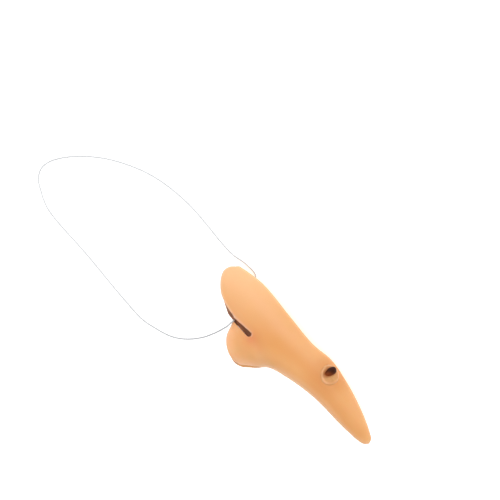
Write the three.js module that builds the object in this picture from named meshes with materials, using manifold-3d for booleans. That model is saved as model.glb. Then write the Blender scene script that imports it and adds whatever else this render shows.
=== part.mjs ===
// A witch's false nose for a costume: a hollow soft vinyl nose with a wart, worn on a loop of round elastic.
// Lengths are in millimetres. The nose is shaped as it is worn, with +X forward from the face, +Y to the
// wearer's left and +Z up. It is then laid down the way it comes to rest on a table, on the left side of its
// ridge with the wart on top and the tip pointing along +X.

import * as THREE from 'three';
import { mergeVertices } from 'three/addons/utils/BufferGeometryUtils.js';
import Module from 'manifold-3d';

const wasm = await Module();
wasm.setup();

// Driving dimensions

const noseReach = 75; // from the back of the rim forward to the tip
const noseHeight = 89; // from the top of the bridge down to the tip
const noseWidth = 37; // across the hollow body behind the nostril wings
const wallThickness = 1.8;
const wingBulge = 2.6; // how far each nostril wing swells past the body
const wingRadius = 9.5;
const creaseDepth = 1.3; // the fold that runs from each slit round the front of its wing
const creaseWidth = 3.2;
const lipArchWidth = 21; // the gap under the nose, between the wings
const slitEndWidth = 2.6; // across the round end of each slit
const wartDiameter = 10;
const wartHeight = 1.9;
const wartTipLength = 5.6;
const wartTipWidth = 3.4;
const wartTipHeight = 1.6; // how far the dark tip stands out of the wart
const wartTipSink = 0.7; // and how deep it sits in the wart's top
const elasticDiameter = 0.8;
const elasticClearance = 0.2; // on each side of the elastic where the slit is narrowest
const knotDiameter = 3;
const knotFromMouth = 2.4; // how far along its slit each knot sits
const fitGap = 0.3; // between two pieces that touch

// Smoothness of the faceted surfaces

const pointsAround = 40;
const rowsAlong = 40;
const elasticSides = 8;
const elasticSteps = 80;

// Sections of the nose, from just behind its rim to its tip. A section spans from a point on the ridge to a
// point on the underside, both as shares of noseReach and noseHeight. Its width is a share of noseWidth,
// lowWide says how far its widest place sinks towards the underside, and flatness how flat its two sides are.

const sections = [
  { ridgeX: -0.06, ridgeZ: 1.1, underX: -0.073, underZ: 0.462, width: 1.0, lowWide: 0.5, flatness: 0.36 },
  { ridgeX: 0.125, ridgeZ: 1.003, underX: 0.087, underZ: 0.436, width: 0.98, lowWide: 0.5, flatness: 0.36 },
  { ridgeX: 0.291, ridgeZ: 0.896, underX: 0.215, underZ: 0.429, width: 0.88, lowWide: 0.45, flatness: 0.36 },
  { ridgeX: 0.457, ridgeZ: 0.725, underX: 0.322, underZ: 0.43, width: 0.69, lowWide: 0.3, flatness: 0.3 },
  { ridgeX: 0.608, ridgeZ: 0.569, underX: 0.437, underZ: 0.378, width: 0.55, lowWide: 0.15, flatness: 0.25 },
  { ridgeX: 0.741, ridgeZ: 0.471, underX: 0.568, underZ: 0.3, width: 0.49, lowWide: 0.1, flatness: 0.25 },
  { ridgeX: 0.837, ridgeZ: 0.353, underX: 0.673, underZ: 0.221, width: 0.42, lowWide: 0.05, flatness: 0.2 },
  { ridgeX: 0.907, ridgeZ: 0.244, underX: 0.76, underZ: 0.143, width: 0.35, lowWide: 0.05, flatness: 0.15 },
  { ridgeX: 0.96, ridgeZ: 0.143, underX: 0.84, underZ: 0.076, width: 0.275, lowWide: 0, flatness: 0.1 },
  { ridgeX: 0.993, ridgeZ: 0.062, underX: 0.912, underZ: 0.022, width: 0.185, lowWide: 0, flatness: 0 },
  { ridgeX: 0.999, ridgeZ: 0.03, underX: 0.95, underZ: 0.004, width: 0.115, lowWide: 0, flatness: 0 },
  { ridgeX: 0.985, ridgeZ: 0.004, underX: 0.985, underZ: 0.004, width: 0, lowWide: 0, flatness: 0 },
];

// The rim's outline seen from the side, from above the bridge, down the cheek edge to the slit's mouth and
// round the wing. Its places on the right and on the left side are shares of noseReach, and its height one of
// noseHeight. The soft edge was trimmed by hand, and near the slits more was taken off on the right.

const rimOutline = [
  { right: 0.19, left: 0.19, z: 1.045 },
  { right: 0.12, left: 0.12, z: 1.001 },
  { right: 0.066, left: 0.066, z: 0.994 },
  { right: 0.026, left: 0.026, z: 0.969 },
  { right: 0.008, left: 0.008, z: 0.927 },
  { right: 0.005, left: 0.005, z: 0.882 },
  { right: 0.012, left: 0.012, z: 0.832 },
  { right: 0.037, left: 0.031, z: 0.78 },
  { right: 0.068, left: 0.048, z: 0.737 },
  { right: 0.092, left: 0.066, z: 0.705 },
  { right: 0.097, left: 0.075, z: 0.694 },
  { right: 0.088, left: 0.082, z: 0.681 },
  { right: 0.078, left: 0.078, z: 0.65 },
  { right: 0.054, left: 0.054, z: 0.605 },
  { right: 0.047, left: 0.047, z: 0.565 },
  { right: 0.053, left: 0.053, z: 0.526 },
  { right: 0.07, left: 0.07, z: 0.488 },
  { right: 0.102, left: 0.102, z: 0.457 },
  { right: 0.155, left: 0.155, z: 0.436 },
  { right: 0.215, left: 0.215, z: 0.41 },
];

// The fold round each wing starts as the open slit and runs on as a soft crease. The left slit was cut
// steeper.

const creasePath = [
  { x: 0.085, z: 0.69 },
  { x: 0.14, z: 0.65 },
  { x: 0.2, z: 0.602 },
  { x: 0.237, z: 0.56 },
  { x: 0.262, z: 0.51 },
  { x: 0.28, z: 0.455 },
  { x: 0.3, z: 0.42 },
];

const slitMouth = { x: 0.079, z: 0.699 };
const rightSlitEnd = { x: 0.194, z: 0.604 };
const leftSlitEnd = { x: 0.19, z: 0.588 };
const wingCentre = { x: 0.16, z: 0.546 };
const lipArchReach = 0.27; // how far forward the gap under the nose runs, as a share of noseReach
const solidTip = 0.1; // how much of the nose is solid at its tip, as a share of its length

// The wart is on the right side. Its dark tip sits a little off its middle.

const wartPlace = { x: 0.727, z: 0.386 };
const wartTipForward = 0.5;
const wartTipUp = 1.6;
const wartTipTurn = 37; // degrees from forward towards up

// Where the elastic lies, once the nose is laid down: from the upper slit, down to the table, round the loop
// and back under the bridge to the lower slit. The two ends inside the slits are worked out from the slits.

const elasticRoute = [
  { x: -32.3, y: 7.8, z: 35.4 },
  { x: -32.1, y: 7.5, z: 36.75 },
  { x: -32, y: 6.4, z: 37.6 },
  { x: -31.9, y: 4.8, z: 37.6 },
  { x: -32.2, y: 1.5, z: 36.7 },
  { x: -32.9, y: -4, z: 34.5 },
  { x: -33.9, y: -9.6, z: 32 },
  { x: -35.1, y: -15.4, z: 29.1 },
  { x: -36.9, y: -22.2, z: 25 },
  { x: -39.8, y: -31.2, z: 19 },
  { x: -43.7, y: -40.3, z: 13 },
  { x: -48.9, y: -48.7, z: 7.4 },
  { x: -56.4, y: -55.9, z: 3 },
  { x: -65.1, y: -61, z: 0.9 },
  { x: -80.9, y: -63.2, z: 0.45 },
  { x: -109.1, y: -65.1, z: 0.45 },
  { x: -142.1, y: -67.8, z: 0.45 },
  { x: -151.8, y: -64.5, z: 0.45 },
  { x: -157.4, y: -61.2, z: 0.45 },
  { x: -160.4, y: -56, z: 0.45 },
  { x: -160.2, y: -49.2, z: 0.45 },
  { x: -155.2, y: -37.5, z: 0.45 },
  { x: -145.5, y: -23.9, z: 0.45 },
  { x: -135.1, y: -13.7, z: 0.45 },
  { x: -121.7, y: -4.3, z: 0.45 },
  { x: -109.5, y: 1.2, z: 0.45 },
  { x: -92.9, y: 5.3, z: 0.45 },
  { x: -62, y: 7.8, z: 0.45 },
  { x: -52.5, y: 11.1, z: 0.45 },
  { x: -45.5, y: 11.6, z: 0.45 },
  { x: -41.4, y: 6.4, z: 0.45 },
  { x: -42, y: 1.5, z: 0.45 },
  { x: -41.3, y: -3.6, z: 0.45 },
  { x: -39.6, y: -7.7, z: 0.5 },
  { x: -37.5, y: -10.6, z: 0.75 },
  { x: -35.2, y: -12.8, z: 1.1 },
  { x: -33.5, y: -14.1, z: 1.25 },
  { x: -32.4, y: -14.5, z: 1.6 },
  { x: -31.7, y: -14.4, z: 2.35 },
];

// Geometry helpers

function fromSide(point) {
  return new THREE.Vector2(point.x * noseReach, point.z * noseHeight);
}

function lineThrough(points) {
  return new THREE.CatmullRomCurve3(points, false, 'catmullrom', 0.5);
}

function solidFrom(geometry) {
  const bare = geometry.clone();
  bare.deleteAttribute('normal');
  bare.deleteAttribute('uv');
  const merged = mergeVertices(bare, 1e-4);
  return new wasm.Manifold(new wasm.Mesh({
    numProp: 3,
    vertProperties: merged.attributes.position.array,
    triVerts: new Uint32Array(merged.index.array),
  }));
}

function geometryFrom(solid) {
  const mesh = solid.getMesh();
  const geometry = new THREE.BufferGeometry();
  geometry.setAttribute('position', new THREE.BufferAttribute(mesh.vertProperties, 3));
  geometry.setIndex(new THREE.BufferAttribute(mesh.triVerts, 1));
  geometry.computeVertexNormals();
  return geometry;
}

// The nose's outer surface

function inSideView(x, z) {
  const { x: forward, y: up } = fromSide({ x, z });
  return new THREE.Vector3(forward, 0, up);
}

const ridgeLine = lineThrough(sections.map((s) => inSideView(s.ridgeX, s.ridgeZ)));
const underLine = lineThrough(sections.map((s) => inSideView(s.underX, s.underZ)));
const fullness = lineThrough(
  sections.map((s) => new THREE.Vector3(s.width * noseWidth, s.lowWide, s.flatness)),
);
const creasePoints = lineThrough(creasePath.map((p) => inSideView(p.x, p.z))).getPoints(30);

// How far the side of the nose swells or folds in at a place seen from the side.
function relief(x, z) {
  const fromWing = fromSide(wingCentre).distanceTo(new THREE.Vector2(x, z));
  const place = new THREE.Vector3(x, 0, z);
  const fromCrease = Math.min(...creasePoints.map((p) => p.distanceTo(place)));
  const swell = wingBulge * Math.exp(-((fromWing / wingRadius) ** 2));
  const fold = creaseDepth * Math.exp(-((fromCrease / creaseWidth) ** 2));
  return swell - fold;
}

// A point of the outer surface. along runs from 0 behind the rim to 1 at the tip, and angle from the ridge
// round by the left side.
function surfacePoint(along, angle) {
  const ridge = ridgeLine.getPoint(along);
  const under = underLine.getPoint(along);
  const full = fullness.getPoint(along);
  const point = under.clone().lerp(ridge, (1 + Math.cos(angle)) / 2);
  const side = Math.sin(angle);
  const flat = Math.sign(side) * Math.abs(side) ** (1 - full.z);
  point.y = (full.x / 2) * flat * (1 - full.y * Math.cos(angle)) + side * relief(point.x, point.z);
  return point;
}

// One closed surface through all sections up to lastAlong, moved outwards by a distance, or inwards if it is
// negative. It is flat across its hidden back end and comes to a single point at the front.
function noseSurface(distance, lastAlong) {
  const positions = [];
  const faces = [];
  for (let row = 0; row < rowsAlong; row += 1) {
    for (let i = 0; i < pointsAround; i += 1) {
      const angle = (2 * Math.PI * i) / pointsAround;
      positions.push(...surfacePoint((lastAlong * row) / rowsAlong, angle).toArray());
    }
  }
  const front = rowsAlong * pointsAround;
  const back = front + 1;
  positions.push(...ridgeLine.getPoint(lastAlong).lerp(underLine.getPoint(lastAlong), 0.5).toArray());
  positions.push(...ridgeLine.getPoint(0).lerp(underLine.getPoint(0), 0.5).toArray());
  for (let i = 0; i < pointsAround; i += 1) {
    const next = (i + 1) % pointsAround;
    for (let row = 0; row < rowsAlong - 1; row += 1) {
      const here = row * pointsAround;
      const ahead = here + pointsAround;
      faces.push(here + i, ahead + i, here + next, here + next, ahead + i, ahead + next);
    }
    const last = front - pointsAround;
    faces.push(last + i, front, last + next);
    faces.push(back, i, next);
  }
  const geometry = new THREE.BufferGeometry();
  geometry.setAttribute('position', new THREE.Float32BufferAttribute(positions, 3));
  geometry.setIndex(faces);
  geometry.computeVertexNormals();
  const { position, normal } = geometry.attributes;
  for (let i = 0; i < position.count; i += 1) {
    const point = new THREE.Vector3().fromBufferAttribute(position, i);
    point.addScaledVector(new THREE.Vector3().fromBufferAttribute(normal, i), distance);
    position.setXYZ(i, point.x, point.y, point.z);
  }
  return geometry;
}

const outerSurface = noseSurface(0, 1);

// The place on one side of the nose that lies at x and z seen from the side. side is 1 for left and -1 for
// right.
function placeOnSide(x, z, side) {
  const target = new THREE.Mesh(outerSurface);
  const reach = 1;
  const hit = (dx, dz) => {
    const from = new THREE.Vector3(x + dx, 2 * side * noseWidth, z + dz);
    return new THREE.Raycaster(from, new THREE.Vector3(0, -side, 0)).intersectObject(target)[0].point;
  };
  const forward = hit(reach, 0).sub(hit(-reach, 0)).normalize();
  const upward = hit(0, reach).sub(hit(0, -reach)).normalize();
  const outward = upward.clone().cross(forward).multiplyScalar(side).normalize();
  return { point: hit(0, 0), outward, forward };
}

// Cutters

const straightCut = { bevelEnabled: false, curveSegments: 12, steps: 1 };

// A shape drawn in the side view, pushed through one side of the nose and a little past its middle.
function halfwayAcross(shape, side) {
  const pastSide = 1.5 * noseWidth;
  const pastMiddle = wallThickness;
  const geometry = new THREE.ExtrudeGeometry(shape, { ...straightCut, depth: pastSide + pastMiddle });
  geometry.rotateX(Math.PI / 2);
  geometry.translate(0, side < 0 ? pastMiddle : pastSide, 0);
  return solidFrom(geometry);
}

// What is trimmed off behind one half of the rim. Both halves are alike at the middle.
function behindRim(side) {
  const farBack = -0.5 * noseReach;
  const outline = rimOutline.map(({ right, left, z }) => fromSide({ x: side < 0 ? right : left, z }));
  const first = outline[0];
  const last = outline[outline.length - 1];
  const shape = new THREE.Shape();
  shape.moveTo(farBack, last.y);
  shape.lineTo(last.x, last.y);
  shape.splineThru(outline.slice(0, -1).reverse());
  shape.lineTo(first.x, 1.3 * noseHeight);
  shape.lineTo(farBack, 1.3 * noseHeight);
  return halfwayAcross(shape, side);
}

// Where one side's slit starts in the rim, which way it runs, and how long it is to the middle of its round
// end.
function slitLine(side) {
  const mouth = fromSide(slitMouth);
  const run = fromSide(side < 0 ? rightSlitEnd : leftSlitEnd).sub(mouth);
  return { mouth, length: run.length(), inwards: run.normalize() };
}

// Each slit widens from its mouth, where it holds the elastic, to its round end.
function slit(side) {
  const { mouth, length, inwards } = slitLine(side);
  const mouthHalf = elasticDiameter / 2 + elasticClearance;
  const behindMouth = -2 * slitEndWidth;
  const shape = new THREE.Shape();
  shape.moveTo(behindMouth, -mouthHalf);
  shape.lineTo(0, -mouthHalf);
  shape.lineTo(length, -slitEndWidth / 2);
  shape.absarc(length, 0, slitEndWidth / 2, -Math.PI / 2, Math.PI / 2, false);
  shape.lineTo(0, mouthHalf);
  shape.lineTo(behindMouth, mouthHalf);
  const turned = shape.getPoints(6).map((p) => p.rotateAround(new THREE.Vector2(), inwards.angle()));
  return halfwayAcross(new THREE.Shape(turned.map((p) => p.add(mouth))), side);
}

// The gap between the wings under the nose, where the wearer's own nose looks out.
function lipArch() {
  const front = lipArchReach * noseReach;
  const half = lipArchWidth / 2;
  const depth = fromSide(wingCentre).y;
  const shape = new THREE.Shape();
  shape.moveTo(-half, half);
  shape.lineTo(-half, -half);
  shape.lineTo(front - half, -half);
  shape.absarc(front - half, 0, half, -Math.PI / 2, Math.PI / 2, false);
  return solidFrom(new THREE.ExtrudeGeometry(shape, { ...straightCut, depth }));
}

// Pieces, in the worn position

function noseShell() {
  return solidFrom(outerSurface)
    .subtract(solidFrom(noseSurface(-wallThickness, 1 - solidTip)))
    .subtract(behindRim(-1))
    .subtract(behindRim(1))
    .subtract(slit(-1))
    .subtract(slit(1))
    .subtract(lipArch());
}

// Moves a geometry made at the origin to the wart's place, its +Z out of the skin and its +X forward.
function toWart(geometry) {
  const { x, y: z } = fromSide(wartPlace);
  const { point, outward, forward } = placeOnSide(x, z, -1);
  const upward = outward.clone().cross(forward);
  geometry.applyMatrix4(new THREE.Matrix4().makeBasis(forward, upward, outward).setPosition(point));
  return geometry;
}

// The dark tip is an oblong dome sunk a little into the wart's top.
function wartTip(clearance) {
  const profile = new THREE.Path();
  profile.moveTo(0, -wartTipSink - clearance);
  profile.lineTo(1, -wartTipSink - clearance);
  profile.bezierCurveTo(1.05, 0.7 * wartTipHeight, 0.6, wartTipHeight, 0, wartTipHeight);
  const geometry = new THREE.LatheGeometry(profile.getPoints(6), 16);
  geometry.rotateX(Math.PI / 2);
  geometry.scale(wartTipLength / 2 + clearance, wartTipWidth / 2 + clearance, 1);
  geometry.rotateZ(THREE.MathUtils.degToRad(wartTipTurn));
  geometry.translate(wartTipForward, wartTipUp, wartHeight);
  return solidFrom(toWart(geometry));
}

function wart() {
  const radius = wartDiameter / 2;
  const root = -0.4 * wartDiameter;
  const profile = new THREE.Path();
  profile.moveTo(0, root);
  profile.lineTo(radius, root);
  profile.lineTo(radius, -0.2 * wartHeight);
  profile.bezierCurveTo(radius, 0.7 * wartHeight, 0.7 * radius, wartHeight, 0, wartHeight);
  const geometry = new THREE.LatheGeometry(profile.getPoints(6), 24);
  geometry.rotateX(Math.PI / 2);
  return solidFrom(toWart(geometry))
    .subtract(solidFrom(noseSurface(fitGap, 1)))
    .subtract(wartTip(fitGap));
}

// Where one slit's knot sits and how the elastic leaves it, straight out through the slit.
function slitEnds(side) {
  const { mouth, inwards } = slitLine(side);
  const sideways = new THREE.Vector3(0, side, 0);
  const at = (fromMouth, height) => {
    const seen = mouth.clone().addScaledVector(inwards, fromMouth);
    const { point, outward } = placeOnSide(seen.x, seen.y, side);
    return point.addScaledVector(sideways, height / Math.abs(outward.y));
  };
  const centre = at(knotFromMouth, -wallThickness - fitGap - knotDiameter / 2);
  const start = centre.clone().addScaledVector(sideways, knotDiameter / 2 + fitGap);
  return {
    knot: centre,
    threads: [start, at(0.9 * knotFromMouth, 0.2 * elasticDiameter)],
  };
}

function knot(centre) {
  const geometry = new THREE.SphereGeometry(knotDiameter / 2, 12, 8);
  geometry.translate(centre.x, centre.y, centre.z);
  return solidFrom(geometry);
}

// Resting

// The three corners of the triangle whose indices start at a place in the index.
function cornersOf(geometry, start) {
  const { position } = geometry.attributes;
  const corner = (k) => geometry.index.getX(start + k);
  return [0, 1, 2].map((k) => new THREE.Vector3().fromBufferAttribute(position, corner(k)));
}

// The centre of mass of one closed body.
function centreOf(geometry) {
  const centre = new THREE.Vector3();
  let volume = 0;
  for (let i = 0; i < geometry.index.count; i += 3) {
    const [a, b, c] = cornersOf(geometry, i);
    const part = a.dot(b.clone().cross(c)) / 6;
    volume += part;
    centre.addScaledVector(a.add(b).add(c), part / 4);
  }
  return centre.divideScalar(volume);
}

// The direction that faces the table when the nose lies on its left side. Of the flats of its taut wrap that
// have the centre of mass above them, it is the one that faces furthest left.
function restingDown(solid) {
  const centre = centreOf(geometryFrom(solid));
  const wrap = geometryFrom(solid.hull());
  const left = new THREE.Vector3(0, 1, 0);
  let down = left;
  let furthest = 0;
  for (let i = 0; i < wrap.index.count; i += 3) {
    const corners = cornersOf(wrap, i);
    const flat = new THREE.Triangle(...corners);
    const normal = flat.getNormal(new THREE.Vector3());
    const below = centre.clone().addScaledVector(normal, corners[0].clone().sub(centre).dot(normal));
    if (normal.dot(left) > furthest && flat.containsPoint(below)) {
      furthest = normal.dot(left);
      down = normal;
    }
  }
  return down;
}

// Turns the worn nose so that it lies on the table at z = 0, in the middle of its own box.
function layingDown(solid) {
  const up = restingDown(solid).negate();
  const tipWay = ridgeLine.getPoint(1).sub(ridgeLine.getPoint(0.1));
  const ahead = tipWay.addScaledVector(up, -tipWay.dot(up)).normalize();
  const turn = new THREE.Matrix4().makeBasis(ahead, up.clone().cross(ahead), up).transpose();
  const laid = geometryFrom(solid).applyMatrix4(turn);
  laid.computeBoundingBox();
  const middle = laid.boundingBox.getCenter(new THREE.Vector3());
  const shift = new THREE.Matrix4().makeTranslation(-middle.x, -middle.y, -laid.boundingBox.min.z);
  return shift.multiply(turn);
}

// The elastic, where it lies

// Its steps are shared out evenly between the route's points, so that the tight ends get their share.
class SteppedRoute extends THREE.CatmullRomCurve3 {
  getPointAt(u, target) {
    return this.getPoint(u, target);
  }

  getTangentAt(u, target) {
    return this.getTangent(u, target);
  }
}

function elastic(points) {
  const route = new SteppedRoute(points, false, 'centripetal');
  const section = new THREE.Shape();
  for (let i = 0; i < elasticSides; i += 1) {
    const angle = (2 * Math.PI * i) / elasticSides;
    const corner = new THREE.Vector2(Math.cos(angle), Math.sin(angle)).multiplyScalar(elasticDiameter / 2);
    if (i === 0) {
      section.moveTo(corner.x, corner.y);
    } else {
      section.lineTo(corner.x, corner.y);
    }
  }
  return new THREE.ExtrudeGeometry(section, { steps: elasticSteps, extrudePath: route, bevelEnabled: false });
}

// Materials

function finish(name, color, roughness) {
  return new THREE.MeshStandardMaterial({ name, color, roughness, metalness: 0 });
}

const vinyl = finish('flesh_vinyl', '#f3b279', 0.5);
const wartVinyl = finish('wart_vinyl', '#dfa468', 0.5);
const darkGloss = finish('dark_gloss', '#33140f', 0.15);
const whiteElastic = finish('white_elastic', '#dedfe2', 0.7);

// The part

const shell = noseShell();
const wartPad = wart();
const darkTip = wartTip(0);
const laying = layingDown(wasm.Manifold.union([shell, wartPad, darkTip]));
const rightEnds = slitEnds(-1);
const leftEnds = slitEnds(1);
const elasticPoints = [
  ...rightEnds.threads.map((p) => p.applyMatrix4(laying)),
  ...elasticRoute.map((p) => new THREE.Vector3(p.x, p.y, p.z)),
  ...leftEnds.threads.map((p) => p.applyMatrix4(laying)).reverse(),
];

const falseNose = new THREE.Group();
falseNose.name = 'false_nose';

function addPiece(name, geometry, material) {
  const mesh = new THREE.Mesh(geometry, material);
  mesh.name = name;
  falseNose.add(mesh);
}

addPiece('nose_shell', geometryFrom(shell).applyMatrix4(laying), vinyl);
addPiece('wart', geometryFrom(wartPad).applyMatrix4(laying), wartVinyl);
addPiece('wart_tip', geometryFrom(darkTip).applyMatrix4(laying), darkGloss);
addPiece('elastic_knot_right', geometryFrom(knot(rightEnds.knot)).applyMatrix4(laying), whiteElastic);
addPiece('elastic_knot_left', geometryFrom(knot(leftEnds.knot)).applyMatrix4(laying), whiteElastic);
addPiece('elastic_cord', elastic(elasticPoints), whiteElastic);

export default falseNose;
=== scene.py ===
"""The looks of a witch's false nose in soft vinyl, with a wart and a loop of round elastic.

The nose is shaped as it is worn, with x forward from the face, y to the wearer's left and z up, and is then
laid down on the left side of its ridge, where the frame has it. Everything is in metres.
"""

import math

import bpy
import numpy as np
from mathutils import Matrix, Vector
from mathutils.bvhtree import BVHTree


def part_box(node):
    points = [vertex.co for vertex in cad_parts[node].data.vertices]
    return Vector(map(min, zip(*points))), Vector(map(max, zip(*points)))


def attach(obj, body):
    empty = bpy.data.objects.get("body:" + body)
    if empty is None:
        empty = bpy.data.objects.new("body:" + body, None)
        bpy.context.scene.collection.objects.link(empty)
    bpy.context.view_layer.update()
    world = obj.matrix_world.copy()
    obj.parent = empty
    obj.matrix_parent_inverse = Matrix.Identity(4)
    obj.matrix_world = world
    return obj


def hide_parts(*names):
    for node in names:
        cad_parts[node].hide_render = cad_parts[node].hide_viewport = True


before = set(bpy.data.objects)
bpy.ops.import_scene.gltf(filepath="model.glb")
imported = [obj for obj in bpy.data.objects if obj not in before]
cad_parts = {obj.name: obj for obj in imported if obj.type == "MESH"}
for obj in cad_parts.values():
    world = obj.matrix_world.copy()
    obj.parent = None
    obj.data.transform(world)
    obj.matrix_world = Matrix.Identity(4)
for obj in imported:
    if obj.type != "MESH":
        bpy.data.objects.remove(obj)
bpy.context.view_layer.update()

MM = 0.001

# Sizes of the nose, as in the frame

NOSE_REACH = 75 * MM
NOSE_HEIGHT = 89 * MM
NOSE_WIDTH = 37 * MM
WALL = 1.8 * MM
WING_BULGE = 2.6 * MM
WING_RADIUS = 9.5 * MM
CREASE_DEPTH = 1.3 * MM
CREASE_WIDTH = 3.2 * MM
LIP_ARCH_WIDTH = 21 * MM
LIP_ARCH_REACH = 0.27
SLIT_END_WIDTH = 2.6 * MM
SLIT_MOUTH_WIDTH = 1.2 * MM
HOLLOW_END = 0.9
ELASTIC = 0.8 * MM
KNOT = 3 * MM
KNOT_FROM_MOUTH = 2.4 * MM
FIT_GAP = 0.3 * MM

# Sections from behind the rim to the tip. The ridge and underside points are shares of the nose's reach and
# height, and the width is a share of its width. low_wide sinks the widest place, and flatness flattens the
# sides.

SECTIONS = [
    # ridge_x, ridge_z, under_x, under_z, width, low_wide, flatness
    (-0.06, 1.1, -0.073, 0.462, 1.0, 0.5, 0.36),
    (0.125, 1.003, 0.087, 0.436, 0.98, 0.5, 0.36),
    (0.291, 0.896, 0.215, 0.429, 0.88, 0.45, 0.36),
    (0.457, 0.725, 0.322, 0.43, 0.69, 0.3, 0.3),
    (0.608, 0.569, 0.437, 0.378, 0.55, 0.15, 0.25),
    (0.741, 0.471, 0.568, 0.3, 0.49, 0.1, 0.25),
    (0.837, 0.353, 0.673, 0.221, 0.42, 0.05, 0.2),
    (0.907, 0.244, 0.76, 0.143, 0.35, 0.05, 0.15),
    (0.96, 0.143, 0.84, 0.076, 0.275, 0, 0.1),
    (0.993, 0.062, 0.912, 0.022, 0.185, 0, 0),
    (0.999, 0.03, 0.95, 0.004, 0.115, 0, 0),
    (0.985, 0.004, 0.985, 0.004, 0, 0, 0),
]

# Places seen from the side, as shares of the nose's reach and height. The rim was trimmed by hand, and near
# the slits more was taken off on the right.

RIM_OUTLINE = [
    # x on the right, x on the left, z
    (0.19, 0.19, 1.045), (0.12, 0.12, 1.001), (0.066, 0.066, 0.994), (0.026, 0.026, 0.969),
    (0.008, 0.008, 0.927), (0.005, 0.005, 0.882), (0.012, 0.012, 0.832), (0.037, 0.031, 0.78),
    (0.068, 0.048, 0.737), (0.092, 0.066, 0.705), (0.097, 0.075, 0.694), (0.088, 0.082, 0.681),
    (0.078, 0.078, 0.65), (0.054, 0.054, 0.605), (0.047, 0.047, 0.565), (0.053, 0.053, 0.526),
    (0.07, 0.07, 0.488), (0.102, 0.102, 0.457), (0.155, 0.155, 0.436), (0.215, 0.215, 0.41),
]
CREASE_PATH = [
    (0.085, 0.69), (0.14, 0.65), (0.2, 0.602), (0.237, 0.56), (0.262, 0.51), (0.28, 0.455), (0.3, 0.42),
]
SLIT_MOUTH = (0.079, 0.699)
RIGHT_SLIT_END = (0.194, 0.604)
LEFT_SLIT_END = (0.188, 0.583)
WING_CENTRE = (0.16, 0.546)
WART_PLACE = (0.727, 0.386)

# Painted shade: where each side is darker, in a band from the slit under the wart to the tip.

SHADED_BAND = [
    (0.281, 0.594), (0.372, 0.56), (0.464, 0.505), (0.549, 0.445), (0.6, 0.385), (0.65, 0.325), (0.71, 0.265),
    (0.79, 0.19), (0.865, 0.105), (0.92, 0.06),
]

# The way that faces the table when the nose lies down, in the worn position.

LYING_DOWN = Vector((0.446958, 0.819418, 0.358864))

# Where the elastic lies, in metres, from the upper slit round the loop to the lower slit.

ELASTIC_ROUTE = [
    (-0.0323, 0.0078, 0.0354), (-0.0321, 0.0075, 0.03675), (-0.032, 0.0064, 0.0376),
    (-0.0319, 0.0048, 0.0376), (-0.0322, 0.0015, 0.0367), (-0.0329, -0.004, 0.0345),
    (-0.0339, -0.0096, 0.032), (-0.0351, -0.0154, 0.0291), (-0.0369, -0.0222, 0.025),
    (-0.0398, -0.0312, 0.019), (-0.0437, -0.0403, 0.013), (-0.0489, -0.0487, 0.0074),
    (-0.0564, -0.0559, 0.003), (-0.0651, -0.061, 0.0009), (-0.0809, -0.0632, 0.00045),
    (-0.1091, -0.0651, 0.00045), (-0.1421, -0.0678, 0.00045), (-0.1518, -0.0645, 0.00045),
    (-0.1574, -0.0612, 0.00045), (-0.1604, -0.056, 0.00045), (-0.1602, -0.0492, 0.00045),
    (-0.1552, -0.0375, 0.00045), (-0.1455, -0.0239, 0.00045), (-0.1351, -0.0137, 0.00045),
    (-0.1217, -0.0043, 0.00045), (-0.1095, 0.0012, 0.00045), (-0.0929, 0.0053, 0.00045),
    (-0.062, 0.0078, 0.00045), (-0.0525, 0.0111, 0.00045), (-0.0455, 0.0116, 0.00045),
    (-0.0414, 0.0064, 0.00045), (-0.042, 0.0015, 0.00045), (-0.0413, -0.0036, 0.00045),
    (-0.0396, -0.0077, 0.0005), (-0.0375, -0.0106, 0.00075), (-0.0352, -0.0128, 0.0011),
    (-0.0335, -0.0141, 0.00125), (-0.0324, -0.0145, 0.0016), (-0.0317, -0.0144, 0.00235),
]


# Camera

LOOKS_AT = Vector((-57.04, 17.68, 0)) * MM
CAMERA_DISTANCE = 1006.99 * MM
CAMERA_AZIMUTH = math.radians(172.0)
CAMERA_ELEVATION = math.radians(57.49)
CAMERA_ROLL = math.radians(120.07)
LENS = 144
SENSOR = 36


def add_camera():
    back = Vector((
        math.sin(CAMERA_AZIMUTH) * math.cos(CAMERA_ELEVATION),
        -math.cos(CAMERA_AZIMUTH) * math.cos(CAMERA_ELEVATION),
        math.sin(CAMERA_ELEVATION),
    ))
    right = (-back).cross(Vector((0, 0, 1))).normalized()
    natural_up = right.cross(-back)
    up = math.cos(CAMERA_ROLL) * natural_up + math.sin(CAMERA_ROLL) * right
    camera = bpy.data.objects.new("camera", bpy.data.cameras.new("camera"))
    turn = Matrix((up.cross(back), up, back)).transposed()
    camera.matrix_world = Matrix.Translation(LOOKS_AT + back * CAMERA_DISTANCE) @ turn.to_4x4()
    camera.data.lens = LENS
    camera.data.sensor_width = SENSOR
    bpy.context.scene.collection.objects.link(camera)
    bpy.context.scene.camera = camera


# Finishes

class Wire:
    """A socket in a finish. Working with it in an expression adds Math nodes."""

    def __init__(self, finish, socket):
        self.finish = finish
        self.socket = socket

    def math(self, operation, *values):
        return self.finish.node("ShaderNodeMath", {"operation": operation}, dict(enumerate(values)))

    def __add__(self, other):
        return self.math("ADD", self, other)

    def __sub__(self, other):
        return self.math("SUBTRACT", self, other)

    def __rsub__(self, other):
        return self.math("SUBTRACT", other, self)

    def __mul__(self, other):
        return self.math("MULTIPLY", self, other)

    __radd__ = __add__
    __rmul__ = __mul__


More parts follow.
